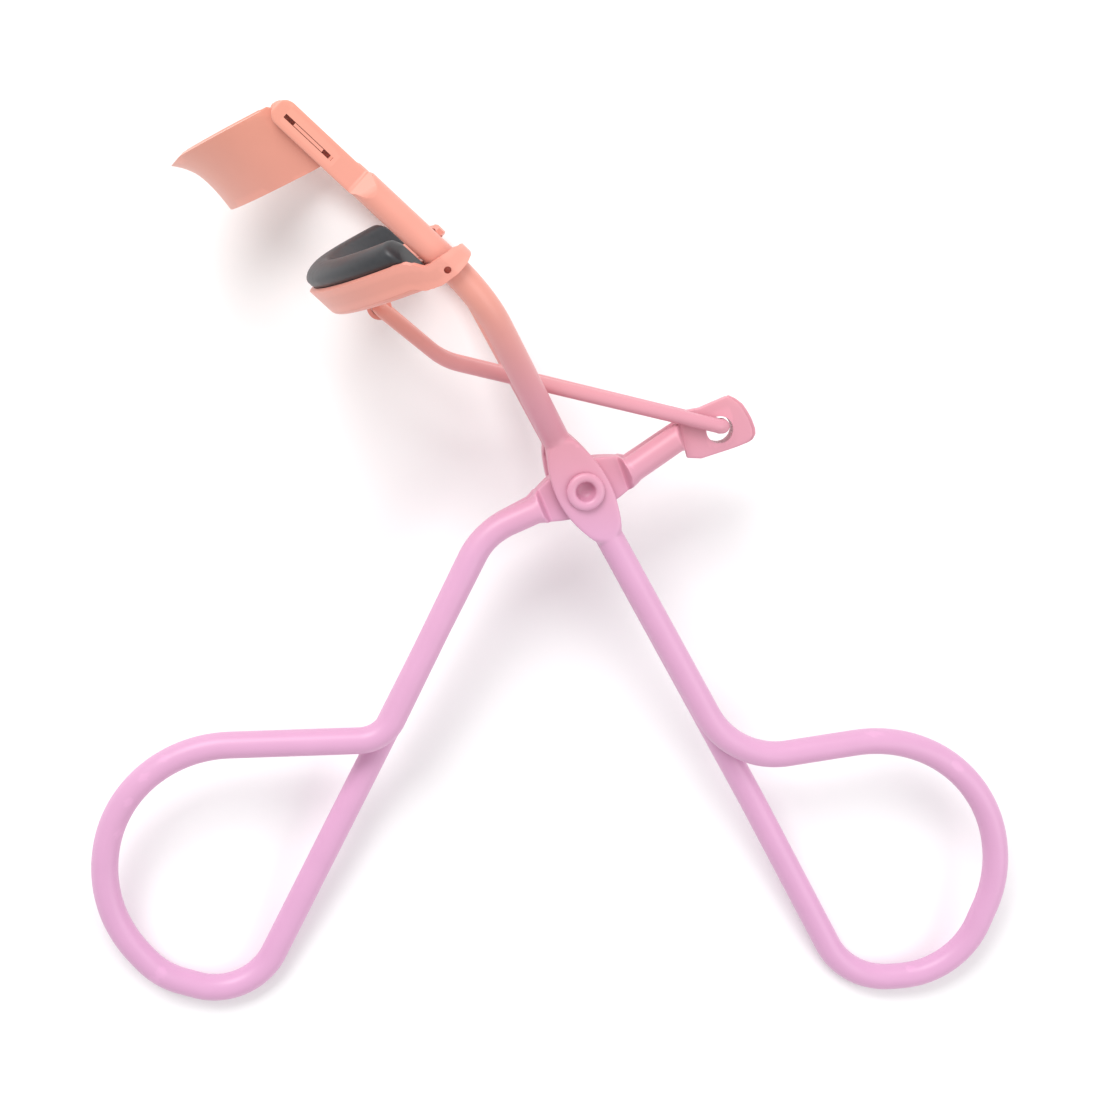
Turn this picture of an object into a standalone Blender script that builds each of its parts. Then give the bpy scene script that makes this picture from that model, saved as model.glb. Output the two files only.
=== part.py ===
# Eyelash curler: two bent-rod handles crossing at a tubular rivet, a curved upper plate
# fixed between the frame's two rails, and a lower cradle with a rubber pad that a wire
# link pushes up the rails when the finger loops are squeezed.
# The tool is modelled lying on its side: near side up, jaws toward +Y, metres.
import math

import bmesh
import bpy
from mathutils import Matrix, Vector

MM = 0.001

# ---- driving dimensions, millimetres, tool frame: origin on the pivot, z = 0 mid-plane ----
ROD_R = 1.45            # handle rod radius
SIDE_Z = 1.5            # rod axis to mid-plane where the two sides run side by side
RAIL_Z = 14.6           # rail axis to mid-plane at the jaws
RAIL_ANGLE = math.radians(136.5)
RAIL_REF = (-20.34, 29.78)      # a point on the rail axis, zero of the along-rail measure
KNEE = Vector((-12.0, 21.9, 0.0))   # near bend between rail and pivot
FAR_KNEE = -12.8        # the far bend, measured along the rail
SPREAD_AT = 6.5         # the two sides start to spread this far above the pivot
FAR_RAIL_LEAN = 0.0185  # outward lean of the far rail per mm along it
FAR_RAIL_ZERO = 4.0     # where along the rail the far one lies square under the near one

FLAT_HT = 0.70          # half thickness of the pressed pivot flats
FLAT_HW = 2.90          # half width of the pressed pivot flats
FLAT_SKEW = 0.15        # the frame's flats bulge a little to one side
LUG_HT = 0.44           # half thickness of the pressed lugs
STRAP_HW, STRAP_HT = 1.33, 0.65
STRAP_TOP, STRAP_END, ROD_START = 15.5, 5.1, 2.9

FRAME_FLAT = (6.0, 4.5, 6.2)    # frame flats: half length, where the step starts and ends
LEVER_FLAT = (5.8, 4.5, 5.2)    # lever flats, likewise
ROD_SIDES = 12

RIVET_HOLE_R = 1.22
RIVET_R = 1.15
RIVET_HEAD_R = 2.05
RIVET_BORE_R = 1.02
LUG_HOLE = (14.86, 5.97)
LUG_HOLE_R = 1.47

SLOT = (8.1, 14.1, 0.08, 0.52)      # along-rail from/to, outward from/to
TAB = (9.3, 12.9, 0.14, 0.46)

PLATE_C, PLATE_R, PLATE_T = -3.95, 15.0, 0.60
PLATE_Z = 13.88         # outer face where the plate runs flat behind the straps
PLATE_SLOPE = 0.34
PLATE_FLARE, PLATE_WAIST = 0.85, 0.45
PLATE_FOOT = 8.0        # lower edge of the plate along the rail
PLATE_STEPS, PLATE_TURNS = 8, 36    # faces up the plate and round its arc

CRADLE_C, CRADLE_R, SHEET = -6.2, 18.05, 0.60
CRADLE_SLOPE, CRADLE_H = 0.41, 3.65
CHANNEL_W = 4.25
CRADLE_TURNS = 36
EAR_ROOT = 3.1          # outward measure where the channel ends and the ears go on alone
EAR_HOLE, EAR_HOLE_R = (-7.0, 0.45), 0.36
EAR_R = 2.42            # outer radius of the ear's curl around the rail
EAR_INSET = 0.02        # ear kept inside both faces of the wall it grows from

PAD_R, PAD_LOW, PAD_TOP = 15.92, 1.46, 1.56
PAD_RISE = (1.60, 2.10)     # crest above the rim at the middle and at the ends
PAD_END, PAD_TURNS = 2.25, 34   # outward measure of the pad's ends, faces round its arc

KNUCKLE_R, KNUCKLE_HALF = 1.28, 1.55    # rolled sleeve around the link bar
WIRE_R = 0.78
LEG_PIN_Z, LEG_BAR_Z = 1.82, 2.45   # link leg to mid-plane at the lug and at the bar
FAR_DROP = 0.25         # how much lower the far leg's pin sits in the lug hole
LINK_BAR = (-21.45, 19.60)
LINK_PIN = (15.11, 6.38)

LIE_TILT = math.radians(9.98)      # far ear and both loops touch the table
LIE_ROLL = math.radians(-0.407)
LIE_SHIFT = (1.938, 8.34, 12.658)     # box centred, base on the table

ALONG = Vector((math.cos(RAIL_ANGLE), math.sin(RAIL_ANGLE), 0.0))
OUT = Vector((-math.sin(RAIL_ANGLE), math.cos(RAIL_ANGLE), 0.0))
REF = Vector((RAIL_REF[0], RAIL_REF[1], 0.0))
UP = Vector((0.0, 0.0, 1.0))

LIE = (Matrix.Translation(Vector(LIE_SHIFT) * MM)
       @ Matrix.Rotation(LIE_ROLL, 4, 'Y') @ Matrix.Rotation(LIE_TILT, 4, 'X'))


def jaw(a, b, z):
    """Point from rail-aligned measures: a up the rail, b outward from it, z across."""
    return REF + ALONG * a + OUT * b + UP * z


# ---- scene set-up ----
for old in list(bpy.data.objects):
    bpy.data.objects.remove(old, do_unlink=True)
root = bpy.context.scene.collection
tool = bpy.data.collections.new("eyelash_curler")
cutters = bpy.data.collections.new("cutters")
root.children.link(tool)
root.children.link(cutters)
cutters.hide_render = True


def material(name, color, rough, metallic=0.0):
    mat = bpy.data.materials.new(name)
    mat.use_nodes = True
    bsdf = mat.node_tree.nodes["Principled BSDF"]
    bsdf.inputs["Base Color"].default_value = (*color, 1.0)
    bsdf.inputs["Roughness"].default_value = rough
    bsdf.inputs["Metallic"].default_value = metallic
    return mat


def settle(name, data, mat=None, origin=(0.0, 0.0, 0.0), cutter=False):
    """Object laid on the table, its origin on the piece's own axis point."""
    obj = bpy.data.objects.new(name, data)
    obj.matrix_world = LIE @ Matrix.Translation(Vector(origin) * MM)
    (cutters if cutter else tool).objects.link(obj)
    if cutter:
        obj.hide_render = True
        obj.display_type = 'WIRE'
    if mat:
        data.materials.append(mat)
    return obj


def finish(bm, name, origin=(0.0, 0.0, 0.0), **kw):
    """Object from a bmesh given in tool-frame millimetres."""
    bmesh.ops.translate(bm, vec=-Vector(origin), verts=bm.verts)
    bmesh.ops.scale(bm, vec=(MM, MM, MM), verts=bm.verts)
    mesh = bpy.data.meshes.new(name)
    bm.to_mesh(mesh)
    bm.free()
    mesh.shade_smooth()
    return settle(name, mesh, origin=origin, **kw)


def place(name, verts, faces, **kw):
    """Hand-built loft between unlike sections."""
    bm = bmesh.new()
    points = [bm.verts.new(v) for v in verts]
    for face in faces:
        bm.faces.new([points[k] for k in face])
    bmesh.ops.recalc_face_normals(bm, faces=bm.faces)
    return finish(bm, name, **kw)


def boolean(target, other, operation='DIFFERENCE'):
    mod = target.modifiers.new(other.name, 'BOOLEAN')
    mod.operation = operation
    mod.solver = 'EXACT'
    mod.object = other
    return mod


def skin(rings):
    """Closed body from equal rings: side quads and flat caps."""
    n = len(rings[0])
    verts = [p for ring in rings for p in ring]
    faces = []
    for i in range(len(rings) - 1):
        for k in range(n):
            j = (k + 1) % n
            faces.append((i * n + k, i * n + j, (i + 1) * n + j, (i + 1) * n + k))
    faces.append(tuple(range(n)))
    faces.append(tuple((len(rings) - 1) * n + k for k in reversed(range(n))))
    return verts, faces


def cylinder(name, center, radius, z0, z1, count=32, **kw):
    bm = bmesh.new()
    bmesh.ops.create_cone(bm, cap_ends=True, segments=count, radius1=radius, radius2=radius,
                          depth=z1 - z0)
    bmesh.ops.translate(bm, vec=(center[0], center[1], (z0 + z1) / 2), verts=bm.verts)
    return finish(bm, name, **kw)


def jaw_block(name, a0, a1, b0, b1, z0, z1, lean=0.0, **kw):
    """Box with its sides along the rail-aligned measures."""
    bm = bmesh.new()
    bmesh.ops.create_cube(bm, size=1.0)
    size = Matrix.Diagonal((a1 - a0, b1 - b0, z1 - z0, 1.0))
    turn = Matrix.Rotation(RAIL_ANGLE, 4, 'Z')
    middle = jaw((a0 + a1) / 2, (b0 + b1) / 2 + lean, (z0 + z1) / 2)
    bmesh.ops.transform(bm, matrix=Matrix.Translation(middle) @ turn @ size, verts=bm.verts)
    return finish(bm, name, **kw)


def turned(name, profile, count, **kw):
    """Body turned about the pivot axis from a closed (r, z) profile."""
    bm = bmesh.new()
    ring = [bm.verts.new((r, 0.0, z)) for r, z in profile]
    for p, q in zip(ring, ring[1:] + ring[:1]):
        bm.edges.new((p, q))
    obj = finish(bm, name, **kw)
    screw = obj.modifiers.new("turn", 'SCREW')
    screw.steps = screw.render_steps = count
    screw.use_merge_vertices = True
    screw.merge_threshold = 1e-7
    return obj


def sheet(name, rows, thickness, **kw):
    """Sheet metal: an open surface of equal rows, made solid on its inner side."""
    bm = bmesh.new()
    grid = [[bm.verts.new(p) for p in row] for row in rows]
    for r0, r1 in zip(grid, grid[1:]):
        for k in range(len(r0) - 1):
            bm.faces.new((r0[k], r0[k + 1], r1[k + 1], r1[k]))
    obj = finish(bm, name, **kw)
    solid = obj.modifiers.new("thickness", 'SOLIDIFY')
    solid.thickness = thickness * MM
    solid.offset = -1.0
    solid.use_even_offset = True
    return obj


def wire(name, path, radius, mat, origin):
    """Round wire along a path, a beveled curve with filled caps."""
    curve = bpy.data.curves.new(name, 'CURVE')
    curve.dimensions = '3D'
    curve.bevel_depth = radius * MM
    curve.bevel_resolution = 2
    curve.use_fill_caps = True
    spline = curve.splines.new('POLY')
    spline.points.add(len(path) - 1)
    for point, p in zip(spline.points, path):
        point.co = (*((p - Vector(origin)) * MM), 1.0)
    return settle(name, curve, mat, origin)


# ---- bent rods ----
def bend(corners, step=math.radians(9.0)):
    """Polyline through corners given as (x, y, z, fillet radius)."""
    pts = [Vector(c[:3]) for c in corners]
    path = [pts[0]]
    for i in range(1, len(pts) - 1):
        u = (pts[i] - pts[i - 1]).normalized()
        v = (pts[i + 1] - pts[i]).normalized()
        turn = u.angle(v)
        radius = corners[i][3]
        if turn < 1e-4 or radius <= 0.0:
            path.append(pts[i])
            continue
        reach = radius * math.tan(turn / 2)
        start = pts[i] - u * reach
        inward = (v - u * u.dot(v)).normalized()
        center = start + inward * radius
        count = max(2, int(math.ceil(turn / step)))
        for k in range(count + 1):
            t = turn * k / count
            path.append(center - inward * radius * math.cos(t) + u * radius * math.sin(t))
    path.append(pts[-1])
    return path


class Run:
    """Path measured by arc length."""

    def __init__(self, path):
        self.path = path
        self.at = [0.0]
        for p, q in zip(path, path[1:]):
            self.at.append(self.at[-1] + (q - p).length)
        self.length = self.at[-1]

    def point(self, s):
        s = min(max(s, 0.0), self.length)
        i = 0
        while i < len(self.at) - 2 and self.at[i + 1] < s:
            i += 1
        span = self.at[i + 1] - self.at[i]
        return self.path[i].lerp(self.path[i + 1], (s - self.at[i]) / span if span else 0.0)

    def nearest(self, target, low=0.0, high=1.0):
        best, where = 1e9, 0.0
        s = low * self.length
        while s <= high * self.length:
            gap = (self.point(s) - target).length
            if gap < best:
                best, where = gap, s
            s += 0.05
        return where


def sweep(run, stations, sides):
    """Stations: (s, half width, half thickness, side shift, up shift, squareness)."""
    stations = sorted(stations)
    marks = sorted({round(s, 4) for s in run.at} | {round(st[0], 4) for st in stations})
    merged = [marks[0]]
    for s in marks[1:]:
        if s - merged[-1] > 0.12:
            merged.append(s)
    merged[-1] = run.length
    rings = []
    for s in merged:
        lo = max([st for st in stations if st[0] <= s + 1e-6], default=stations[0])
        hi = min([st for st in stations if st[0] >= s - 1e-6], default=stations[-1])
        f = 0.0 if hi[0] - lo[0] < 1e-6 else (s - lo[0]) / (hi[0] - lo[0])
        hw, ht, dx, dz, sq = [lo[k] + (hi[k] - lo[k]) * f for k in range(1, 6)]
        tangent = (run.point(s + 0.15) - run.point(s - 0.15)).normalized()
        side = UP.cross(tangent).normalized()
        up = tangent.cross(side)
        mid = run.point(s) + side * dx + up * dz
        ring = []
        for k in range(sides):
            t = 2 * math.pi * k / sides
            c, d = math.cos(t), math.sin(t)
            e = 2.0 / sq
            ring.append(mid + side * hw * math.copysign(abs(c) ** e, c)
                        + up * ht * math.copysign(abs(d) ** e, d))
        rings.append(ring)
    return skin(rings)


def pressed_flat(s0, shift, hw, reach, blend, skew=0.0):
    """Stations of a lens-shaped pivot flat centred at s0."""
    out = []
    for f in (-1.0, -0.86, -0.7, -0.5, -0.25, 0.0, 0.25, 0.5, 0.7, 0.86, 1.0):
        s = f * reach
        wide = ROD_R + (hw - ROD_R) * max(0.0, 1.0 - f * f) ** 1.15
        thin = 1.0 if abs(s) <= blend[0] else max(
            0.0, 1.0 - (abs(s) - blend[0]) / (blend[1] - blend[0]))
        ht = ROD_R + (FLAT_HT - ROD_R) * thin
        dz = shift * (ROD_R - FLAT_HT) * thin
        out.append((s0 + s, wide, ht, skew * (1.0 - f * f), dz, 2.0 + 4.0 * thin))
    for edge in blend:
        for sign in (-1.0, 1.0):
            f = edge / reach
            wide = ROD_R + (hw - ROD_R) * max(0.0, 1.0 - f * f) ** 1.15
            thin = 1.0 if edge == blend[0] else 0.0
            out.append((s0 + sign * edge, wide, ROD_R + (FLAT_HT - ROD_R) * thin,
                        skew * (1.0 - min(1.0, f * f)), shift * (ROD_R - FLAT_HT) * thin,
                        2.0 + 4.0 * thin))
    return out


COAL = (0.035, 0.036, 0.040)
CORAL = (0.78, 0.30, 0.24)
PINK = (0.78, 0.36, 0.62)
frame_paint = material("frame_paint", PINK, 0.42)
lever_paint = material("lever_paint", PINK, 0.42)
rivet_paint = material("rivet_paint", PINK, 0.42)
plate_paint = material("plate_paint", CORAL, 0.45)
cradle_paint = material("cradle_paint", CORAL, 0.45)
link_paint = material("link_paint", CORAL, 0.42)
pad_rubber = material("pad_rubber", COAL, 0.55)

# ---- frame handle: near rail, pivot flat, shank, finger loop, and back up the far side ----
spread = KNEE.normalized() * SPREAD_AT


def lean_at(a):
    return FAR_RAIL_LEAN * (a - FAR_RAIL_ZERO)


def rail_point(a, far):
    lean = lean_at(a) if far else 0.0
    p = jaw(a, lean, -RAIL_Z if far else RAIL_Z)
    return (p.x, p.y, p.z, 0.0)


far_knee = rail_point(FAR_KNEE, True)[:3]
frame_corners = [
    rail_point(STRAP_TOP, False),
    (KNEE.x, KNEE.y, RAIL_Z, 13.0),
    (spread.x, spread.y, SIDE_Z, 3.5),
    (0.0, 0.0, SIDE_Z, 0.0),
    (16.9, -31.2, SIDE_Z, 9.3),
    (45.9, -28.0, 0.75, 15.6),
    (48.5, -47.0, 0.0, 15.2),
    (44.2, -58.6, -0.75, 9.8),
    (31.4, -59.1, -SIDE_Z, 8.0),
    (19.7, -36.6, -SIDE_Z, 60.0),
    (0.0, 0.0, -SIDE_Z, 0.0),
    (spread.x, spread.y, -SIDE_Z, 3.5),
    (*far_knee, 9.0),
    rail_point(STRAP_TOP, True),
]
frame_run = Run(bend(frame_corners))


def strap(run, far):
    """Flattened rail end with a rounded tip; measured from the tip."""
    out = []
    r = STRAP_HW
    lat = 0.2 if far else -0.2
    for deg in (12, 30, 50, 70, 90):
        t = math.radians(deg)
        out.append((r * (1 - math.cos(t)), r * math.sin(t), STRAP_HT, lat, 0.0, 6.0))
    out.insert(0, (0.0, 0.16, STRAP_HT * 0.9, lat, 0.0, 4.0))
    out.append((STRAP_TOP - STRAP_END, 1.36, STRAP_HT, lat, 0.0, 6.0))
    out.append((STRAP_TOP - ROD_START - 0.8, 1.44, 0.9, lat * 0.8, 0.0, 4.0))
    out.append((STRAP_TOP - ROD_START, ROD_R, ROD_R, 0.0, 0.0, 2.0))
    if far:
        return [(run.length - s, *rest) for s, *rest in out]
    return out


near_pivot = frame_run.nearest(Vector((0, 0, SIDE_Z)), 0.0, 0.4)
far_pivot = frame_run.nearest(Vector((0, 0, -SIDE_Z)), 0.6, 1.0)
frame_stations = (
    strap(frame_run, False)
    + pressed_flat(near_pivot, 1.0, FLAT_HW, FRAME_FLAT[0], FRAME_FLAT[1:], skew=-FLAT_SKEW)
    + pressed_flat(far_pivot, -1.0, FLAT_HW, FRAME_FLAT[0], FRAME_FLAT[1:], skew=FLAT_SKEW)
    + strap(frame_run, True))
verts, faces = sweep(frame_run, frame_stations, ROD_SIDES)
frame_handle = place("frame_handle", verts, faces, mat=frame_paint)

# ---- lever handle: near lug, arm, pivot flat, shank, finger loop, and back to the far lug ----
lever_corners = [
    (18.38, 6.10, SIDE_Z, 0.0),
    (10.4, 5.45, SIDE_Z, 3.0),
    (4.9, 1.75, SIDE_Z, 2.5),
    (0.0, 0.0, SIDE_Z, 0.0),
    (-10.8, -4.6, SIDE_Z, 8.2),
    (-21.9, -27.1, SIDE_Z, 4.1),
    (-49.8, -27.2, 0.75, 13.8),
    (-53.1, -45.6, 0.0, 15.6),
    (-46.6, -53.9, -0.75, 8.7),
    (-37.0, -57.6, -SIDE_Z, 6.8),
    (-10.3, -5.2, -SIDE_Z, 8.2),
    (0.0, 0.0, -SIDE_Z, 0.0),
    (5.4, 1.7, -SIDE_Z, 2.5),
    (11.0, 5.4, -SIDE_Z, 3.0),
    (18.95, 6.05, -SIDE_Z, 0.0),
]
lever_run = Run(bend(lever_corners))
LUG_SHAPE = (
    (0.0, 0.36, -0.45), (0.3, 1.15, -0.19), (0.75, 1.75, 0.15), (1.2, 2.2, 0.45),
    (1.9, 2.62, 0.66), (2.6, 2.90, 0.77), (4.6, 2.80, 0.24), (5.7, 2.74, -0.06),
    (7.45, 2.54, 0.0))


def lug(run, far):
    """Pressed lug at a lever end; measured from its tip."""
    flip = -1.0 if far else 1.0
    out = []
    for s, hw, lat in LUG_SHAPE:
        out.append((s, hw, LUG_HT, -lat * flip, -flip * (ROD_R - LUG_HT), 7.0))
    out.append((7.62, 1.50, 0.55, 0.0, -flip * (ROD_R - 0.55), 5.0))
    out.append((8.2, ROD_R, ROD_R, 0.0, 0.0, 2.0))
    if far:
        return [(run.length - s, *rest) for s, *rest in out]
    return out


near_mid = lever_run.nearest(Vector((0, 0, SIDE_Z)), 0.0, 0.4)
far_mid = lever_run.nearest(Vector((0, 0, -SIDE_Z)), 0.6, 1.0)
lever_stations = (
    lug(lever_run, False)
    + pressed_flat(near_mid, -1.0, FLAT_HW, LEVER_FLAT[0], LEVER_FLAT[1:])
    + pressed_flat(far_mid, 1.0, FLAT_HW, LEVER_FLAT[0], LEVER_FLAT[1:])
    + lug(lever_run, True))
verts, faces = sweep(lever_run, lever_stations, ROD_SIDES)
lever_handle = place("lever_handle", verts, faces, mat=lever_paint)

# ---- holes ----
rivet_cut = cylinder("rivet_hole", (0, 0), RIVET_HOLE_R, -4.0, 4.0, cutter=True)
lug_cut = cylinder("lug_hole", LUG_HOLE, LUG_HOLE_R, -4.0, 4.0, cutter=True)
boolean(frame_handle, rivet_cut)
boolean(lever_handle, rivet_cut)
boolean(lever_handle, lug_cut)


slot_lean = lean_at(11.1)
for tag, z0, z1, lean in (("near", 12.0, 17.0, 0.0), ("far", -17.0, -12.0, slot_lean)):
    a0, a1, b0, b1 = SLOT
    boolean(frame_handle, jaw_block("slot_" + tag, a0, a1, b0, b1, z0, z1, lean, cutter=True))

# ---- tubular rivet, rolled over on both sides ----
face_z = SIDE_Z + ROD_R
half = [(RIVET_BORE_R, 0.0), (RIVET_BORE_R, face_z + 0.15), (RIVET_BORE_R + 0.12, face_z + 0.5),
        (RIVET_BORE_R + 0.38, face_z + 0.68), (1.65, face_z + 0.66),
        (RIVET_HEAD_R - 0.12, face_z + 0.45), (RIVET_HEAD_R, face_z + 0.22),
        (RIVET_HEAD_R - 0.04, face_z + 0.05), (RIVET_R, face_z + 0.05)]
loop = half[1:] + [(r, -z) for r, z in reversed(half[1:])]
rivet = turned("pivot_rivet", loop, 28, mat=rivet_paint)
core = cylinder("rivet_web", (0, 0), (RIVET_R + RIVET_BORE_R) / 2, -face_z + 1.1, face_z - 1.1,
                cutter=True)
boolean(rivet, core, 'UNION')


# ---- sheet-metal bodies along a plan curve ----
def plan_arc(center, radius, z_from, z_to, count):
    """(b, z) points and outward directions on a circle about (center, 0)."""
    t0, t1 = math.asin(z_from / radius), math.asin(z_to / radius)
    out = []
    for k in range(count + 1):
        t = t0 + (t1 - t0) * k / count
        out.append((center + radius * math.cos(t), radius * math.sin(t),
                    math.cos(t), math.sin(t)))
    return out


def section_loft(plan, section):
    """Loft a section (n outward, a up the rail) along plan points; a may depend on b."""
    rings = []
    for b, z, nb, nz in plan:
        ring = []
        for n, a in section(b, z):
            ring.append(jaw(a, b + nb * n, z + nz * n))
        rings.append(ring)
    return skin(rings)


# upper plate: cylindrical strip leaning up toward its middle, flared top edge
def plate_section(b, z):
    mid = max(0.0, 1.0 - abs(z) / PLATE_R)
    low = PLATE_FOOT + PLATE_SLOPE * (max(b, 1.6) - 0.5)
    high = min(15.45 + PLATE_SLOPE * b, 18.85) if b > 0.9 else 14.2 + 1.55 * max(0.0, b + 0.1)
    outer = []
    for k in range(PLATE_STEPS + 1):
        f = k / PLATE_STEPS
        a = low + (high - low) * f
        flare = mid ** 1.5 * (PLATE_FLARE * max(0.0, (f - 0.55) / 0.45) ** 2
                              - PLATE_WAIST * math.sin(math.pi * f))
        outer.append((flare, a))
    return outer


flat_b = PLATE_C + math.sqrt(PLATE_R ** 2 - PLATE_Z ** 2)
near_plan = [(b, PLATE_Z, 0.0, 1.0) for b in (-0.85, 0.0, 0.9, flat_b - 0.25)]
arc_plan = plan_arc(PLATE_C, PLATE_R, PLATE_Z, -PLATE_Z, PLATE_TURNS)
far_plan = [(b, -PLATE_Z, 0.0, -1.0) for b in (flat_b - 0.25, 0.9, 0.0, -0.85)]
plate_plan = near_plan + arc_plan[1:-1] + far_plan


def leaned(plan):
    return [(b + slot_lean * (PLATE_Z - z) / (2 * PLATE_Z), z, nb, nz) for b, z, nb, nz in plan]


def plate_rows(plan):
    rows = []
    for (b0, z0, _, _), (b, z, nb, nz) in zip(plan, leaned(plan)):
        rows.append([jaw(a, b + nb * n, z + nz * n) for n, a in plate_section(b0, z0)])
    return rows


plate = sheet("upper_jaw_plate", plate_rows(plate_plan), PLATE_T, mat=plate_paint)
for tag, z0, z1, lean in (("near", PLATE_Z - 0.4, RAIL_Z + STRAP_HT - 0.04, 0.0),
                          ("far", -RAIL_Z - STRAP_HT + 0.04, -PLATE_Z + 0.4, slot_lean)):
    a0, a1, b0, b1 = TAB
    boolean(plate, jaw_block("tab_" + tag, a0, a1, b0, b1, z0, z1, lean, cutter=True), 'UNION')


# lower cradle: open channel along an arc, ears that hook round the rails, a rolled knuckle
def rim(b):
    return 0.05 - CRADLE_SLOPE * (CRADLE_C + CRADLE_R - b)


def channel_section(b, z):
    top = rim(b)
    low = top - CRADLE_H
    w, t = CHANNEL_W, SHEET
    return [(-0.12, top), (0.0, top - 0.15), (0.0, low + 0.75), (-0.22, low + 0.22),
            (-0.75, low), (-w + 0.5, low), (-w, low + 0.5), (-w, top - 1.7),
            (-w + t, top - 1.7), (-w + t, low + t), (-t, low + t), (-t, top)]


ear_z = math.sqrt(CRADLE_R ** 2 - (EAR_ROOT - CRADLE_C) ** 2)
verts, faces = section_loft(plan_arc(CRADLE_C, CRADLE_R, ear_z, -ear_z, CRADLE_TURNS), channel_section)
bar = Vector((LINK_BAR[0], LINK_BAR[1], 0.0))
cradle = place("lower_jaw_cradle", verts, faces, mat=cradle_paint, origin=bar)


def ear_section(b, z, along):
    """Band edges along the ear, from the channel wall to the curl's end."""
    keys = ((0.0, rim(4.4) - 0.10, rim(4.4) - CRADLE_H + 0.5),
            (1.57, rim(3.1) - 0.10, rim(3.1) - CRADLE_H + 0.05),
            (2.2, -4.30, -7.45), (2.9, -5.20, -7.70), (3.6, -5.42, -7.80), (5.0, -5.60, -7.95),
            (6.3, -5.85, -7.95), (7.6, -6.25, -7.80), (8.6, -6.50, -7.60), (10.0, -6.70, -7.40))
    for (s0, t0, l0), (s1, t1, l1) in zip(keys, keys[1:]):
        if along <= s1:
            f = max(0.0, (along - s0) / (s1 - s0))
            return t0 + (t1 - t0) * f, l0 + (l1 - l0) * f
    return keys[-1][1], keys[-1][2]


def ear(side):
    """Plan: follows the wall, passes the rail's face, curls round its back."""
    r = CRADLE_R - EAR_INSET
    plan = []
    for b in (4.4, 3.7, 3.1, 2.5, 1.9, 1.3, 0.65):
        z = math.sqrt(r ** 2 - (b - CRADLE_C) ** 2)
        plan.append((b, z))
    for deg in (90, 105, 120, 137, 154, 171, 188, 205):
        t = math.radians(deg)
        plan.append((EAR_R * math.cos(t), RAIL_Z + EAR_R * math.sin(t)))
    rows, along, last = [], 0.0, None
    for b, z in plan:
        if last:
            along += math.hypot(b - last[0], z - last[1])
        last = (b, z)
        top, low = ear_section(b, z, along)
        edges = (top, low) if side > 0 else (low, top)
        rows.append([jaw(a, b, side * z) for a in edges])
    return rows


for tag, side in (("near", 1.0), ("far", -1.0)):
    band = sheet("ear_" + tag, ear(side), SHEET - 2 * EAR_INSET, origin=bar, cutter=True)
    boolean(cradle, band, 'UNION')
ear_hole = jaw(*EAR_HOLE, 0.0)
boolean(cradle, cylinder("ear_hole", (ear_hole.x, ear_hole.y), EAR_HOLE_R, -20.0, 20.0, 16, cutter=True))

sleeve = cylinder("knuckle", LINK_BAR, KNUCKLE_R, -KNUCKLE_HALF, KNUCKLE_HALF, cutter=True)
boolean(cradle, sleeve, 'UNION')
bar_a = (bar - REF).dot(ALONG)
bar_b = (bar - REF).dot(OUT)
web = jaw_block("knuckle_web", bar_a + 0.98, bar_a + 2.9, bar_b - 0.45, bar_b + 0.45,
                -KNUCKLE_HALF, KNUCKLE_HALF, cutter=True)
boolean(cradle, web, 'UNION')
bore = cylinder("knuckle_bore", LINK_BAR, WIRE_R + 0.06, -4.0, 4.0, cutter=True)
boolean(cradle, bore)


# rubber pad: bullet section seated in the channel
def pad_section(b, z):
    turn = (b - CRADLE_C) / PAD_R
    top = rim(CRADLE_C + CRADLE_R * turn)
    low = top - CRADLE_H + SHEET + 0.05
    rise = PAD_RISE[0] + (PAD_RISE[1] - PAD_RISE[0]) * (1.0 - turn) / 0.47
    ring = [(-PAD_LOW, low), (PAD_LOW, low), (PAD_LOW, top + 0.02), (PAD_TOP, top + 0.22),
            (PAD_TOP, top + 0.7)]
    for deg in (20, 45, 70, 90, 110, 135, 160):
        t = math.radians(deg)
        ring.append((PAD_TOP * math.cos(t), top + 0.75 + (rise - 0.75) * math.sin(t)))
    ring += [(-PAD_TOP, top + 0.7), (-PAD_TOP, top - 1.3), (-PAD_LOW, top - 1.6)]
    return ring


pad_z = math.sqrt(PAD_R ** 2 - (PAD_END - CRADLE_C) ** 2)
verts, faces = section_loft(plan_arc(CRADLE_C, PAD_R, pad_z, -pad_z, PAD_TURNS), pad_section)
place("rubber_pad", verts, faces, mat=pad_rubber, origin=bar)

# ---- link wire: pins inward through the lug hole, legs spread to the bar in the knuckle ----
def leg(side, drop):
    return [(LINK_PIN[0], LINK_PIN[1] - drop, side * 0.12, 0.0),
            (LINK_PIN[0], LINK_PIN[1] - drop, side * LEG_PIN_Z, 0.9),
            (-14.75, 14.05 - drop, side * LEG_BAR_Z, 7.0),
            (LINK_BAR[0], LINK_BAR[1], side * LEG_BAR_Z, 0.85)]


link_corners = leg(1.0, 0.0) + leg(-1.0, FAR_DROP)[::-1]
wire("link_wire", bend(link_corners, math.radians(12.0)), WIRE_R, link_paint, bar)
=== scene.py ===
# Looks for the eyelash curler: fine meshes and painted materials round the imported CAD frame.
import math

import bmesh
import bpy
from mathutils import Matrix, Vector


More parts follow.
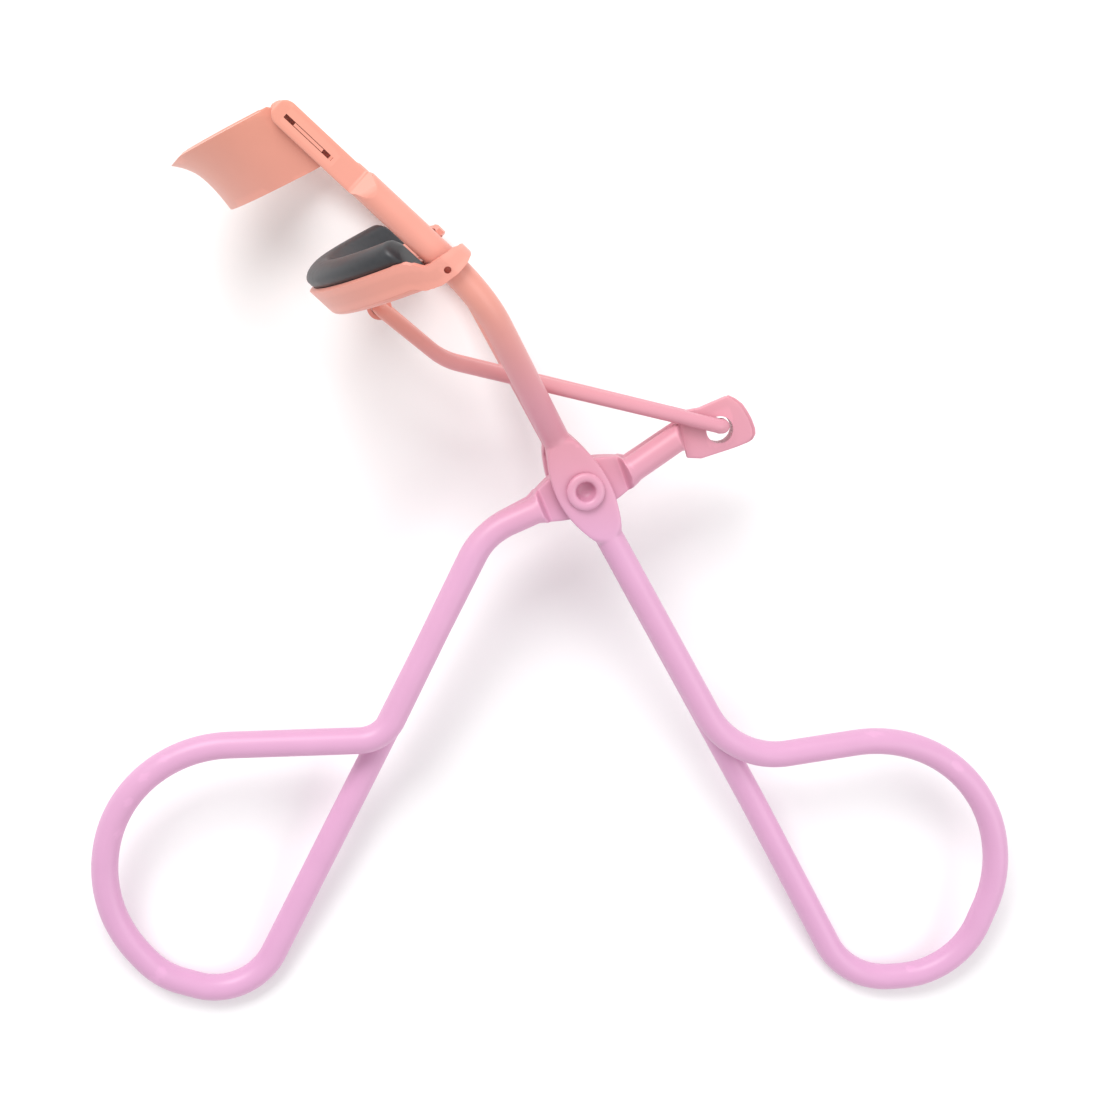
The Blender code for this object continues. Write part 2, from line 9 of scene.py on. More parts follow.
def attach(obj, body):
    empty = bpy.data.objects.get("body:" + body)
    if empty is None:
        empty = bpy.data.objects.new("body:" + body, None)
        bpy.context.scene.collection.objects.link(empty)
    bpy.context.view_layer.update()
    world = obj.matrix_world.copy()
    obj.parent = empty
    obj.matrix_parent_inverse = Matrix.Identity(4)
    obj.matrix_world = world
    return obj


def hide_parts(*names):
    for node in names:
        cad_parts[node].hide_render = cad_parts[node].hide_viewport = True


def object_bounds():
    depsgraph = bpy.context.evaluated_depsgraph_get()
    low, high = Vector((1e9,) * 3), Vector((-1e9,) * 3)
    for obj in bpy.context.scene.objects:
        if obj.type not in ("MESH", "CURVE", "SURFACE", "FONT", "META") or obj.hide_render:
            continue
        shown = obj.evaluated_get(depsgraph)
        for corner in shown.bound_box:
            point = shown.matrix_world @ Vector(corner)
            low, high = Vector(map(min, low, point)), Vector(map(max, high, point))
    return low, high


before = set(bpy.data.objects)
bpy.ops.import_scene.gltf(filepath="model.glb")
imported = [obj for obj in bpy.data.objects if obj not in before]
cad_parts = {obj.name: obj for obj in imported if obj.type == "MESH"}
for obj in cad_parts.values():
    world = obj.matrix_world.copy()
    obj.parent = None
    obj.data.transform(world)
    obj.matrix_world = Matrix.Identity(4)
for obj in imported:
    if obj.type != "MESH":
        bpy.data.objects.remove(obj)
cad_lo, cad_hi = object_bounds()

MM = 0.001

# ---- dimensions in millimetres, tool frame: origin on the pivot, z = 0 mid-plane ----
ROD_R = 1.45            # handle rod radius
SIDE_Z = 1.5            # rod axis to mid-plane where the two sides run side by side
RAIL_Z = 14.6           # rail axis to mid-plane at the jaws
RAIL_ANGLE = math.radians(136.5)
RAIL_REF = Vector((-20.34, 29.78, 0.0))     # zero of the along-rail measure
KNEE = Vector((-12.0, 21.9, 0.0))           # near bend between rail and pivot
FAR_KNEE = -12.8        # the far bend, measured along the rail
SPREAD_AT = 6.5         # the two sides start to spread this far above the pivot
FAR_RAIL_LEAN, FAR_RAIL_ZERO = 0.0185, 4.0  # the far rail leans outward, per mm from its zero

FLAT_HT, FLAT_HW = 0.70, 2.90   # half thickness and half width of the pivot flats
FLAT_SKEW = 0.15        # the frame's flats bulge a little to one side
FRAME_FLAT = (6.0, (4.5, 6.2))  # half length, and where the step starts and ends
LEVER_FLAT = (5.8, (4.5, 5.2))

STRAP_HW, STRAP_HT, STRAP_SHIFT = 1.33, 0.65, 0.2
STRAP_TOP, STRAP_END, ROD_START = 15.5, 5.1, 2.9
RAMP_LENGTH = 0.9       # from the strap's section to the round rod
FACET_AT = 4.0          # where along the rail the step's facet takes the rail's lean
SLOT = (8.1, 14.1, 0.08, 0.52)      # along-rail from/to, outward from/to
SLOT_DEPTH = (12.0, 17.0)
SLOT_MIDDLE = 11.1
TAB = (9.3, 12.9, 0.14, 0.46)

LUG_HT = 0.44
LUG_LENGTH, LUG_SHOULDER = 8.3, 7.55
LUG_NECK, LUG_NECK_AT = 1.50, 7.35
LUG_HOLE, LUG_HOLE_R = (14.86, 5.97), 1.47
LUG_SHAPE = (           # from the tip, half width, side shift
    (0.0, 0.36, -0.45), (0.3, 1.15, -0.19), (0.75, 1.75, 0.15), (1.2, 2.2, 0.45),
    (1.9, 2.62, 0.66), (2.6, 2.90, 0.77), (4.6, 2.80, 0.24), (5.7, 2.74, -0.06),
    (7.45, 2.54, 0.0))

RIVET_HOLE_R, RIVET_R, RIVET_HEAD_R = 1.22, 1.15, 2.05
FACE_Z = SIDE_Z + ROD_R

PLATE_C, PLATE_R, PLATE_T, PLATE_Z = -3.95, 15.0, 0.60, 13.88
PLATE_SLOPE, PLATE_FLARE, PLATE_WAIST = 0.34, 0.85, 0.45
PLATE_FOOT = 8.0        # lower edge of the plate along the rail
PLATE_RISE, PLATE_TOP = 15.45, 18.85    # upper edge at the strap, and where it is capped
PLATE_CORNER = (14.2, 1.55, 0.1)        # the cut corner behind the strap: start, slope, shift
PLATE_STEPS = 16

CRADLE_C, CRADLE_R, SHEET = -6.2, 18.05, 0.60
CRADLE_SLOPE, CRADLE_H, CHANNEL_W = 0.41, 3.65, 4.25
FLOOR_ROUND = 0.75      # outer radius where the wall turns into the floor
LIP_DROP = 1.7          # how much lower the inner wall is
CHANNEL_END = 3.1       # outward measure where the channel ends
EAR_START = 4.4         # outward measure where the ears start
EAR_TURN, EAR_PACE = 0.6, 0.25      # where the curl begins, and the spacing up to it
EAR_R = 2.42            # outer radius of the ear's curl round the rail
EAR_HOLE, EAR_HOLE_R = (-7.0, 0.45), 0.36
KNUCKLE_R, KNUCKLE_HALF = 1.28, 1.55
TAB_SPAN, TAB_HALF = (0.98, 2.9), 0.45      # the knuckle's tab: from the bar, half thickness

PAD_R, PAD_LOW, PAD_TOP, PAD_RISE = 15.92, 1.46, 1.56, (1.60, 2.10)
PAD_END = 2.25          # outward measure of the pad's ends
PAD_STEPS, PAD_END_ROUND = 150, 0.6
PAD_TUCK_DOWN, PAD_TUCK_IN = 0.20, 0.25     # how far the rounded ends draw in

WIRE_R = 0.78
BORE_SLACK = 0.06
LINK_BAR = (-21.45, 19.60)
LINK_PIN = (15.11, 6.38)
LINK_KNEE = (-14.75, 14.05)
LEG_TIP_Z, LEG_PIN_Z, LEG_BAR_Z = 0.12, 1.82, 2.45
FAR_DROP = 0.25         # how much lower the far leg's pin sits in the lug hole

ROD_SIDES, WIRE_SIDES, ARC_STEPS = 40, 32, 110
ROD_BEND, WIRE_BEND = math.radians(3.0), math.radians(4.0)
FINE_PACE, ROD_PACE, WIRE_PACE = 0.12, 0.9, 1.2
TIP_FINE, STEP_FINE, FLAT_FINE, LUG_FINE = 1.5, (9.5, 13.2), 7.0, 9.0   # closely ringed
THROUGH, ACROSS = 4.0, 20.0     # half lengths of cutters through the handles, across the jaws

LIE_TILT, LIE_ROLL = math.radians(9.98), math.radians(-0.407)
LIE_SHIFT = Vector((1.938, 8.34, 12.658))

ALONG = Vector((math.cos(RAIL_ANGLE), math.sin(RAIL_ANGLE), 0.0))
OUT = Vector((-math.sin(RAIL_ANGLE), math.cos(RAIL_ANGLE), 0.0))
UP = Vector((0.0, 0.0, 1.0))
LIE = (Matrix.Translation(LIE_SHIFT * MM)
       @ Matrix.Rotation(LIE_ROLL, 4, 'Y') @ Matrix.Rotation(LIE_TILT, 4, 'X'))


def jaw(a, b, z):
    """Point from rail-aligned measures: a up the rail, b outward from it, z across."""
    return RAIL_REF + ALONG * a + OUT * b + UP * z


def smooth(f):
    f = min(max(f, 0.0), 1.0)
    return f * f * (3.0 - 2.0 * f)


# ---- mesh helpers ----
def piece(name, verts, faces, mat):
    """Object from a mesh given in tool-frame millimetres, laid on the table."""
    mesh = bpy.data.meshes.new(name)
    mesh.from_pydata([LIE @ (Vector(v) * MM) for v in verts], [], faces)
    bm = bmesh.new()
    bm.from_mesh(mesh)
    bmesh.ops.recalc_face_normals(bm, faces=bm.faces)
    bm.to_mesh(mesh)
    bm.free()
    mesh.polygons.foreach_set("use_smooth", [True] * len(mesh.polygons))
    obj = bpy.data.objects.new(name, mesh)
    bpy.context.scene.collection.objects.link(obj)
    if mat:
        mesh.materials.append(mat)
    return obj


def skin(rings):
    """Closed body from equal rings: side quads and flat caps."""
    n = len(rings[0])
    verts = [p for ring in rings for p in ring]
    faces = []
    for i in range(len(rings) - 1):
        for k in range(n):
            j = (k + 1) % n
            faces.append((i * n + k, i * n + j, (i + 1) * n + j, (i + 1) * n + k))
    faces.append(tuple(range(n)))
    faces.append(tuple((len(rings) - 1) * n + k for k in reversed(range(n))))
    return verts, faces


def round_bar(name, center, radius, z0, z1, count=64, mat=None):
    rings = [[Vector((center[0] + radius * math.cos(2 * math.pi * k / count),
                      center[1] + radius * math.sin(2 * math.pi * k / count), z))
              for k in range(count)] for z in (z0, z1)]
    return piece(name, *skin(rings), mat)


def jaw_block(name, spans, lean=0.0):
    (a0, a1), (b0, b1), (z0, z1) = spans
    verts = [jaw(a, b + lean, z) for z in (z0, z1)
             for a, b in ((a0, b0), (a1, b0), (a1, b1), (a0, b1))]
    faces = [(0, 1, 2, 3), (4, 5, 6, 7), (0, 1, 5, 4), (1, 2, 6, 5), (2, 3, 7, 6), (3, 0, 4, 7)]
    return piece(name, verts, faces, None)


def carve(target, tool, operation='DIFFERENCE'):
    """Applies one exact Boolean and removes the tool."""
    mod = target.modifiers.new("cut", 'BOOLEAN')
    mod.operation = operation
    mod.solver = 'EXACT'
    mod.object = tool
    apply_all(target)
    bpy.data.objects.remove(tool, do_unlink=True)


def apply_all(obj):
    graph = bpy.context.evaluated_depsgraph_get()
    mesh = bpy.data.meshes.new_from_object(obj.evaluated_get(graph))
    obj.modifiers.clear()
    obj.data = mesh


def soften(obj, width, segments=3, angle=38.0):
    """Rounded sheet edges."""
    bevel = obj.modifiers.new("edge", 'BEVEL')
    bevel.width = width * MM
    bevel.segments = segments
    bevel.limit_method = 'ANGLE'
    bevel.angle_limit = math.radians(angle)
    bevel.harden_normals = True


# ---- bent rods ----
def bend(corners, step):
    """Polyline through corners given as (x, y, z, fillet radius)."""
    pts = [Vector(c[:3]) for c in corners]
    path = [pts[0]]
    for i in range(1, len(pts) - 1):
        u = (pts[i] - pts[i - 1]).normalized()
        v = (pts[i + 1] - pts[i]).normalized()
        turn = u.angle(v)
        radius = corners[i][3]
        if turn < 1e-4 or radius <= 0.0:
            path.append(pts[i])
            continue
        start = pts[i] - u * radius * math.tan(turn / 2)
        inward = (v - u * u.dot(v)).normalized()
        center = start + inward * radius
        count = max(3, int(math.ceil(turn / step)))
        for k in range(count + 1):
            t = turn * k / count
            path.append(center - inward * radius * math.cos(t) + u * radius * math.sin(t))
    path.append(pts[-1])
    return path


class Run:
    """Path measured by arc length."""

    def __init__(self, path):
        self.path = path
        self.at = [0.0]
        for p, q in zip(path, path[1:]):
            self.at.append(self.at[-1] + (q - p).length)
        self.length = self.at[-1]
        self.hint = 0

    def point(self, s):
        s = min(max(s, 0.0), self.length)
        i = self.hint if self.at[self.hint] <= s else 0
        while i < len(self.at) - 2 and self.at[i + 1] < s:
            i += 1
        self.hint = i
        span = self.at[i + 1] - self.at[i]
        return self.path[i].lerp(self.path[i + 1], (s - self.at[i]) / span if span else 0.0)

    def nearest(self, target, low, high):
        steps = int((high - low) * self.length / 0.05)
        marks = [low * self.length + 0.05 * k for k in range(steps)]
        return min(marks, key=lambda s: (self.point(s) - target).length)


def sweep(run, section, fine, sides, pace=ROD_PACE, fixed_up=True):
    """section(s) gives half width, half thickness, side shift, up shift, squareness.
    fine lists (from, to) stretches that take closely spaced rings."""
    marks = set(round(s, 3) for s in run.at)
    s = 0.0
    while s < run.length:
        marks.add(round(s, 3))
        s += FINE_PACE if any(lo <= s <= hi for lo, hi in fine) else pace
    merged = [0.0]
    for s in sorted(marks):
        if s - merged[-1] > 0.07:
            merged.append(s)
    merged[-1] = run.length
    rings, side = [], None
    for s in merged:
        hw, ht, dx, dz, sq = section(s)
        tangent = (run.point(s + 0.25) - run.point(s - 0.25)).normalized()
        if fixed_up:
            side = UP.cross(tangent).normalized()
        else:
            seed = side if side else Vector((0.31, 0.95, 0.0))
            side = (seed - tangent * seed.dot(tangent)).normalized()
        up = tangent.cross(side)
        mid = run.point(s) + side * dx + up * dz
        e = 2.0 / sq
        ring = []
        for k in range(sides):
            t = 2 * math.pi * (k + 0.5) / sides
            c, d = math.cos(t), math.sin(t)
            ring.append(mid + side * hw * math.copysign(abs(c) ** e, c)
                        + up * ht * math.copysign(abs(d) ** e, d))
        rings.append(ring)
    return skin(rings)


def keyed(keys, s):
    """Smooth interpolation through (s, values...) keys."""
    if s <= keys[0][0]:
        return keys[0][1:]
    for lo, hi in zip(keys, keys[1:]):
        if s <= hi[0]:
            f = smooth((s - lo[0]) / (hi[0] - lo[0]))
            return tuple(p + (q - p) * f for p, q in zip(lo[1:], hi[1:]))
    return keys[-1][1:]


PLAIN = (ROD_R, ROD_R, 0.0, 0.0, 2.0)


def pressed_flat(d, shift, reach, blend, skew):
    """Section at distance d from a pivot flat's centre, or None beyond it."""
    if abs(d) > max(reach, blend[1]):
        return None
    f = min(1.0, abs(d) / reach)
    wide = ROD_R + (FLAT_HW - ROD_R) * (1.0 - f * f) ** 1.15
    thin = 1.0 - smooth((abs(d) - blend[0]) / (blend[1] - blend[0]))
    ht = ROD_R + (FLAT_HT - ROD_R) * thin
    return (wide, ht, skew * (1.0 - f * f), shift * (ROD_R - FLAT_HT) * thin,
            2.0 + 6.0 * thin)


# ---- materials ----
def paint(name, seed):
    """Satin lacquer, coral at the jaws fading to lilac at the loops, with painted shade in hollows and
    creases and painted highlights on sharp convex edges.
    """
    mat = bpy.data.materials.new(name)
    mat.use_nodes = True
    nodes, links = mat.node_tree.nodes, mat.node_tree.links
    bsdf = nodes["Principled BSDF"]
    coord = nodes.new("ShaderNodeTexCoord")
    sep = nodes.new("ShaderNodeSeparateXYZ")
    links.new(coord.outputs["Object"], sep.inputs[0])
    span = nodes.new("ShaderNodeMapRange")
    span.inputs["From Min"].default_value = cad_lo.y
    span.inputs["From Max"].default_value = cad_hi.y
    links.new(sep.outputs["Y"], span.inputs["Value"])
    ramp = nodes.new("ShaderNodeValToRGB")
    ramp.color_ramp.interpolation = 'EASE'
    stops = PAINT_STOPS
    while len(ramp.color_ramp.elements) < len(stops):
        ramp.color_ramp.elements.new(0.5)
    for element, (at, color) in zip(ramp.color_ramp.elements, stops):
        element.position = at
        element.color = (*color, 1.0)
    links.new(span.outputs["Result"], ramp.inputs["Fac"])
    mottle = nodes.new("ShaderNodeTexNoise")
    mottle.inputs["Scale"].default_value = 260.0
    mottle.inputs["Detail"].default_value = 4.0
    shift = nodes.new("ShaderNodeMapping")
    shift.inputs["Location"].default_value = (seed, 0.3 * seed, 0.7 * seed)
    links.new(coord.outputs["Object"], shift.inputs["Vector"])
    links.new(shift.outputs["Vector"], mottle.inputs["Vector"])
    tone = nodes.new("ShaderNodeMapRange")
    tone.inputs["To Min"].default_value = 0.965
    tone.inputs["To Max"].default_value = 1.035
    links.new(mottle.outputs["Fac"], tone.inputs["Value"])
    # painted shade and highlight: the colour is a little darker in hollows and creases and a little
    # lighter on sharp convex edges, driven by pointiness
    geo = nodes.new("ShaderNodeNewGeometry")
    edge = nodes.new("ShaderNodeMapRange")
    edge.inputs["From Min"].default_value = 0.44
    edge.inputs["From Max"].default_value = 0.60
    edge.inputs["To Min"].default_value = 0.93
    edge.inputs["To Max"].default_value = 1.05
    links.new(geo.outputs["Pointiness"], edge.inputs["Value"])
    # random mottle multiplied by the painted edge shade and highlight
    mottle_and_edge_light = nodes.new("ShaderNodeMath")
    mottle_and_edge_light.operation = 'MULTIPLY'
    links.new(tone.outputs["Result"], mottle_and_edge_light.inputs[0])
    links.new(edge.outputs["Result"], mottle_and_edge_light.inputs[1])
    mix = nodes.new("ShaderNodeVectorMath")
    mix.operation = 'SCALE'
    links.new(ramp.outputs["Color"], mix.inputs[0])
    links.new(mottle_and_edge_light.outputs[0], mix.inputs["Scale"])
    links.new(mix.outputs["Vector"], bsdf.inputs["Base Color"])
    rough = nodes.new("ShaderNodeMapRange")
    rough.inputs["To Min"].default_value = 0.36
    rough.inputs["To Max"].default_value = 0.46
    links.new(mottle.outputs["Fac"], rough.inputs["Value"])
    links.new(rough.outputs["Result"], bsdf.inputs["Roughness"])
    peel = nodes.new("ShaderNodeTexNoise")
    peel.inputs["Scale"].default_value = 2600.0
    peel.inputs["Detail"].default_value = 2.0
    links.new(shift.outputs["Vector"], peel.inputs["Vector"])
    bump = nodes.new("ShaderNodeBump")
    bump.inputs["Strength"].default_value = 0.10
    bump.inputs["Distance"].default_value = 0.00003
    links.new(peel.outputs["Fac"], bump.inputs["Height"])
    links.new(bump.outputs["Normal"], bsdf.inputs["Normal"])
    bsdf.inputs["Metallic"].default_value = 0.0
    bsdf.inputs["Specular IOR Level"].default_value = 0.45
    bsdf.inputs["Coat Weight"].default_value = 0.12
    bsdf.inputs["Coat Roughness"].default_value = 0.30
    return mat


def rubber(name):
    """Matt black rubber with a fine grain."""
    mat = bpy.data.materials.new(name)
    mat.use_nodes = True
    nodes, links = mat.node_tree.nodes, mat.node_tree.links
    bsdf = nodes["Principled BSDF"]
    coord = nodes.new("ShaderNodeTexCoord")
    grain = nodes.new("ShaderNodeTexNoise")
    grain.inputs["Scale"].default_value = 1500.0
    grain.inputs["Detail"].default_value = 5.0
    links.new(coord.outputs["Object"], grain.inputs["Vector"])
    ramp = nodes.new("ShaderNodeValToRGB")
    ramp.color_ramp.elements[0].color = (0.022, 0.024, 0.028, 1.0)
    ramp.color_ramp.elements[1].color = (0.040, 0.042, 0.047, 1.0)
    links.new(grain.outputs["Fac"], ramp.inputs["Fac"])
    links.new(ramp.outputs["Color"], bsdf.inputs["Base Color"])
    rough = nodes.new("ShaderNodeMapRange")
    rough.inputs["To Min"].default_value = 0.34
    rough.inputs["To Max"].default_value = 0.50
    links.new(grain.outputs["Fac"], rough.inputs["Value"])
    links.new(rough.outputs["Result"], bsdf.inputs["Roughness"])
    bump = nodes.new("ShaderNodeBump")
    bump.inputs["Strength"].default_value = 0.18
    bump.inputs["Distance"].default_value = 0.00004
    links.new(grain.outputs["Fac"], bump.inputs["Height"])
    links.new(bump.outputs["Normal"], bsdf.inputs["Normal"])
    bsdf.inputs["Specular IOR Level"].default_value = 0.5
    return mat


def srgb(r, g, b):
    def lin(v):
        v /= 255.0
        return v / 12.92 if v <= 0.04045 else ((v + 0.055) / 1.055) ** 2.4
    return (lin(r), lin(g), lin(b))


PAINT_STOPS = (
    (0.00, srgb(214, 160, 197)),
    (0.50, srgb(214, 160, 194)),
    (0.64, srgb(214, 147, 163)),
    (0.78, srgb(228, 154, 139)),
    (1.00, srgb(225, 150, 129)),
)
frame_paint = paint("frame_paint_look", 1.0)
lever_paint = paint("lever_paint_look", 2.0)
rivet_paint = paint("rivet_paint_look", 3.0)
plate_paint = paint("plate_paint_look", 4.0)
cradle_paint = paint("cradle_paint_look", 5.0)
link_paint = paint("link_paint_look", 6.0)
pad_look = rubber("pad_rubber_look")

# ---- frame handle ----
spread = KNEE.normalized() * SPREAD_AT


def lean_at(a):
    return FAR_RAIL_LEAN * (a - FAR_RAIL_ZERO)


def rail_point(a, far):
    lean = lean_at(a) if far else 0.0
    p = jaw(a, lean, -RAIL_Z if far else RAIL_Z)
    return (p.x, p.y, p.z, 0.0)


frame_run = Run(bend([
    rail_point(STRAP_TOP, False),
    (KNEE.x, KNEE.y, RAIL_Z, 13.0),
    (spread.x, spread.y, SIDE_Z, 3.5),
    (0.0, 0.0, SIDE_Z, 0.0),
    (16.9, -31.2, SIDE_Z, 9.3),
    (45.9, -28.0, 0.75, 15.6),
    (48.5, -47.0, 0.0, 15.2),
    (44.2, -58.6, -0.75, 9.8),
    (31.4, -59.1, -SIDE_Z, 8.0),
    (19.7, -36.6, -SIDE_Z, 60.0),
    (0.0, 0.0, -SIDE_Z, 0.0),
    (spread.x, spread.y, -SIDE_Z, 3.5),
    (*rail_point(FAR_KNEE, True)[:3], 9.0),
    rail_point(STRAP_TOP, True),
], ROD_BEND))

near_pivot = frame_run.nearest(Vector((0, 0, SIDE_Z)), 0.0, 0.4)
far_pivot = frame_run.nearest(Vector((0, 0, -SIDE_Z)), 0.6, 1.0)


def strap(s, lat):
    """Section at distance s from a rail's tip, or None beyond the strap."""
    if s > STRAP_TOP - ROD_START:
        return None
    r = STRAP_HW
    hw = r * math.sqrt(max(0.0, 1.0 - (1.0 - min(s, r) / r) ** 2))
    hw = max(hw, 0.10)
    f = smooth((s - (STRAP_TOP - STRAP_END)) / RAMP_LENGTH)
    hw += (ROD_R - hw) * f
    ht = STRAP_HT * (1.0 if s > 0.12 else 0.85)
    return (hw, ht + (ROD_R - ht) * f, lat * (1.0 - f), 0.0, 8.0 - 6.0 * f)


def frame_section(s):
    for found in (strap(s, -STRAP_SHIFT), strap(frame_run.length - s, STRAP_SHIFT),
                  pressed_flat(s - near_pivot, 1.0, *FRAME_FLAT, -FLAT_SKEW),
                  pressed_flat(s - far_pivot, -1.0, *FRAME_FLAT, FLAT_SKEW)):
        if found:
            return found
    return PLAIN


end = frame_run.length
frame_obj = piece("frame_handle_rod", *sweep(
    frame_run, frame_section,
    ((0.0, TIP_FINE), STEP_FINE, (near_pivot - FLAT_FINE, near_pivot + FLAT_FINE),
     (far_pivot - FLAT_FINE, far_pivot + FLAT_FINE), (end - STEP_FINE[1], end - STEP_FINE[0]),
     (end - TIP_FINE, end)), ROD_SIDES), frame_paint)
slot_lean = lean_at(SLOT_MIDDLE)
carve(frame_obj, round_bar("cut", (0, 0), RIVET_HOLE_R, -THROUGH, THROUGH))


def ramp_wedge(side, lean):
    """Half-moon facet: a flat ramp from the strap's face up to the rod's crown."""
    low = RAIL_Z + STRAP_HT + 0.03
    high = RAIL_Z + ROD_R + 0.02
    outline = ((STRAP_END + 0.5, low), (STRAP_END - 0.35, low), (ROD_START - 0.1, high),
               (ROD_START - 0.1, high + 1.0), (STRAP_END + 0.5, high + 1.0))
    rings = [[jaw(a, b + lean, side * z) for a, z in outline] for b in (-2.2, 2.2)]
    return piece("cut", *skin(rings), None)


for side, lean in ((1.0, 0.0), (-1.0, lean_at(FACET_AT))):
    carve(frame_obj, ramp_wedge(side, lean))
for depth, lean in ((SLOT_DEPTH, 0.0), ((-SLOT_DEPTH[1], -SLOT_DEPTH[0]), slot_lean)):
    carve(frame_obj, jaw_block("cut", (SLOT[:2], SLOT[2:], depth), lean))

# ---- lever handle ----
lever_run = Run(bend([
    (18.38, 6.10, SIDE_Z, 0.0),
    (10.4, 5.45, SIDE_Z, 3.0),
    (4.9, 1.75, SIDE_Z, 2.5),
    (0.0, 0.0, SIDE_Z, 0.0),
    (-10.8, -4.6, SIDE_Z, 8.2),
    (-21.9, -27.1, SIDE_Z, 4.1),
    (-49.8, -27.2, 0.75, 13.8),
    (-53.1, -45.6, 0.0, 15.6),
    (-46.6, -53.9, -0.75, 8.7),
    (-37.0, -57.6, -SIDE_Z, 6.8),
    (-10.3, -5.2, -SIDE_Z, 8.2),
    (0.0, 0.0, -SIDE_Z, 0.0),
    (5.4, 1.7, -SIDE_Z, 2.5),
    (11.0, 5.4, -SIDE_Z, 3.0),
    (18.95, 6.05, -SIDE_Z, 0.0),
], ROD_BEND))
near_mid = lever_run.nearest(Vector((0, 0, SIDE_Z)), 0.0, 0.4)
far_mid = lever_run.nearest(Vector((0, 0, -SIDE_Z)), 0.6, 1.0)


def lug(s, flip):
    """Section at distance s from a lever tip, or None beyond the lug."""
    if s > LUG_LENGTH:
        return None
    lo, hi = LUG_SHAPE[0], LUG_SHAPE[-1]
    for p, q in zip(LUG_SHAPE, LUG_SHAPE[1:]):
        if p[0] <= s <= q[0]:
            lo, hi = p, q
    f = min(max((s - lo[0]) / (hi[0] - lo[0]), 0.0), 1.0)
    hw, lat = lo[1] + (hi[1] - lo[1]) * f, lo[2] + (hi[2] - lo[2]) * f
    neck = smooth((s - LUG_NECK_AT) / 0.30)
    rise = smooth((s - LUG_SHOULDER) / (LUG_LENGTH - LUG_SHOULDER))
    hw += (LUG_NECK - hw) * neck
    ht = LUG_HT + (ROD_R - LUG_HT) * rise
    return (hw, ht, -lat * flip * (1.0 - rise), -flip * (ROD_R - ht), 8.0 - 6.0 * rise)


def lever_section(s):
    for found in (lug(s, 1.0), lug(lever_run.length - s, -1.0),
                  pressed_flat(s - near_mid, -1.0, *LEVER_FLAT, 0.0),
                  pressed_flat(s - far_mid, 1.0, *LEVER_FLAT, 0.0)):
        if found:
            return found
    return PLAIN


end = lever_run.length
lever_obj = piece("lever_handle_rod", *sweep(
    lever_run, lever_section,
    ((0.0, LUG_FINE), (near_mid - FLAT_FINE, near_mid + FLAT_FINE),
     (far_mid - FLAT_FINE, far_mid + FLAT_FINE), (end - LUG_FINE, end)), ROD_SIDES),
    lever_paint)
carve(lever_obj, round_bar("cut", (0, 0), RIVET_HOLE_R, -THROUGH, THROUGH))
carve(lever_obj, round_bar("cut", LUG_HOLE, LUG_HOLE_R, -THROUGH, THROUGH, 96))
for rod in (frame_obj, lever_obj):
    soften(rod, 0.10, 3, 40.0)


# ---- rivet ----
def turned(name, profile, count, mat):
    verts, faces, n = [], [], len(profile)
    for k in range(count):
        t = 2 * math.pi * k / count
        verts += [(r * math.cos(t), r * math.sin(t), z) for r, z in profile]
    for k in range(count):
        m = (k + 1) % count
        for i in range(n - 1):
            faces.append((k * n + i, k * n + i + 1, m * n + i + 1, m * n + i))
    obj = piece(name, verts, faces, mat)
    bm = bmesh.new()
    bm.from_mesh(obj.data)
    bmesh.ops.remove_doubles(bm, verts=bm.verts, dist=1e-7)
    bmesh.ops.recalc_face_normals(bm, faces=bm.faces)
    bm.to_mesh(obj.data)
    bm.free()
    return obj


head = [(0.0, FACE_Z - 0.75), (0.45, FACE_Z - 0.72), (0.75, FACE_Z - 0.60),
        (0.92, FACE_Z - 0.35), (0.98, FACE_Z - 0.05), (1.03, FACE_Z + 0.25)]
for deg in range(0, 181, 15):
    t = math.radians(180 - deg)
    head.append((1.54 + 0.50 * math.cos(t), FACE_Z + 0.30 + 0.38 * math.sin(t)))
head += [(RIVET_HEAD_R - 0.02, FACE_Z + 0.10), (RIVET_HEAD_R - 0.10, FACE_Z + 0.05),
         (RIVET_R, FACE_Z + 0.05)]
profile = head + [(r, -z) for r, z in reversed(head)]
rivet_obj = turned("rivet_tube", profile, 96, rivet_paint)


# ---- sheet metal ----
def plan_arc(center, radius, z_from, z_to, count):
    t0, t1 = math.asin(z_from / radius), math.asin(z_to / radius)
    out = []
    for k in range(count + 1):
        t = t0 + (t1 - t0) * k / count
        out.append((center + radius * math.cos(t), radius * math.sin(t),
                    math.cos(t), math.sin(t)))
    return out


def plate_section(b, z):
    mid = max(0.0, 1.0 - abs(z) / PLATE_R)
    low = PLATE_FOOT + PLATE_SLOPE * (max(b, 1.6) - 0.5)
    high = min(PLATE_RISE + PLATE_SLOPE * b, PLATE_TOP)
    if b <= 0.9:
        start, slope, shift = PLATE_CORNER
        high = start + slope * max(0.0, b + shift)
    outer, inner = [], []
    for k in range(PLATE_STEPS + 1):
        f = k / PLATE_STEPS
        flare = mid ** 1.5 * (PLATE_FLARE * max(0.0, (f - 0.55) / 0.45) ** 2
                              - PLATE_WAIST * math.sin(math.pi * f))
        outer.append((flare, low + (high - low) * f))
        inner.append((flare - PLATE_T, low + (high - low) * f))
    return outer + inner[::-1]


